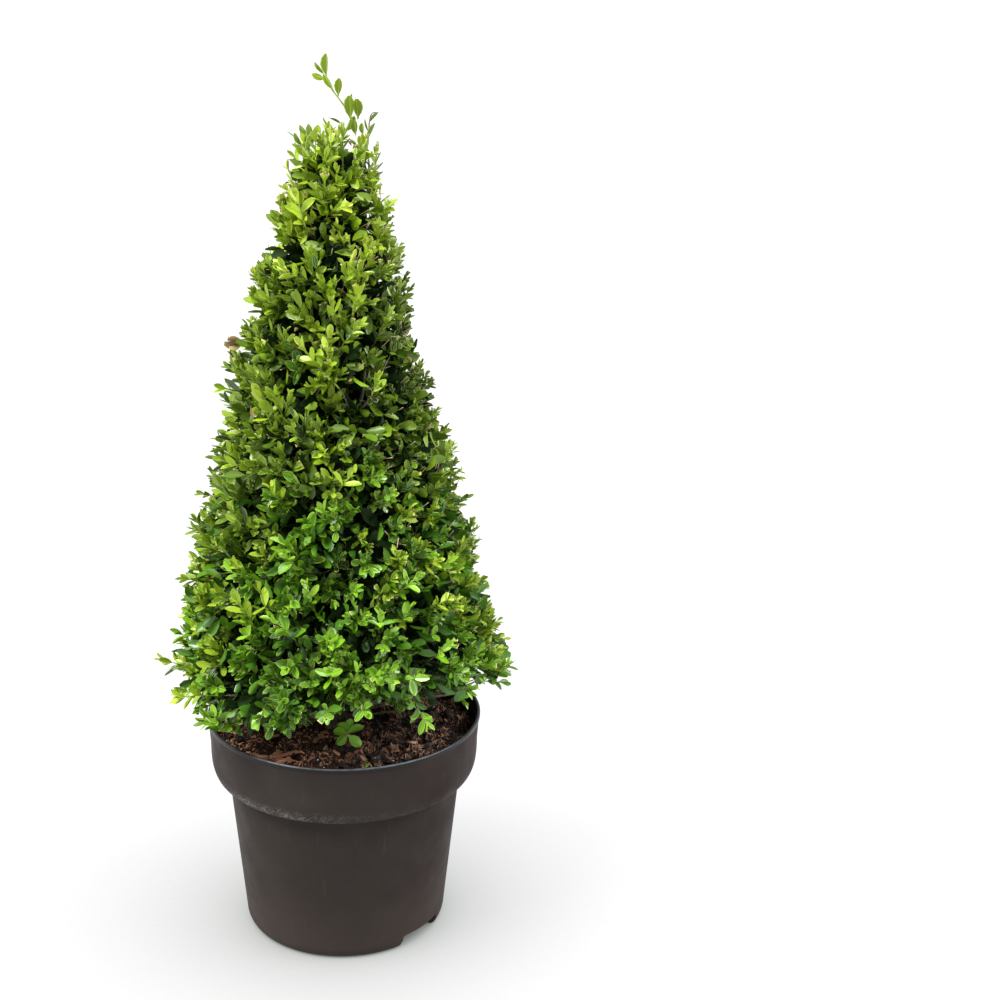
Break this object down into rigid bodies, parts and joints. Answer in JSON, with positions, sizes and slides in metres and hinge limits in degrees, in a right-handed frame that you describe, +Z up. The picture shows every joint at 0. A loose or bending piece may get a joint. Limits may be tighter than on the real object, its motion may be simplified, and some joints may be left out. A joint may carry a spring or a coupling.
{
  "type": "boxwood cone topiary",
  "caption": "Clipped evergreen shrub trained to a tall cone, with a loose leading shoot at its tip, growing in a round plastic nursery pot with a stepped rim band.",
  "frame": {"origin": "middle of the pot's flat underside, where it stands", "axes": "+Z up from the ground to the leading shoot, -Y towards the front that the picture shows, +X to the right of that front"},
  "size_m": [0.3307, 0.3243, 0.8221],
  "materials": {
    "pot_plastic": "dark brown-black moulded plastic, dusty, with pale scuffs",
    "compost": "damp reddish-brown bark compost with chips and fibres",
    "bark": "pale grey-brown fissured bark",
    "foliage": "glossy mid-green leaves with a paler rib",
    "young_foliage": "fresh yellow-green young leaves"
  },
  "bodies": {
    "root": {"pot": "pot_plastic", "compost": "compost", "stem": "bark", "bough_1": "bark", "bough_2": "bark", "bough_3": "bark", "bough_4": "bark", "bough_5": "bark", "foliage_cone": "foliage", "leader_sprig": "young_foliage", "foot_shoot_1": "young_foliage", "foot_shoot_2": "young_foliage", "foot_shoot_3": "young_foliage"}
  },
  "joints": []
}
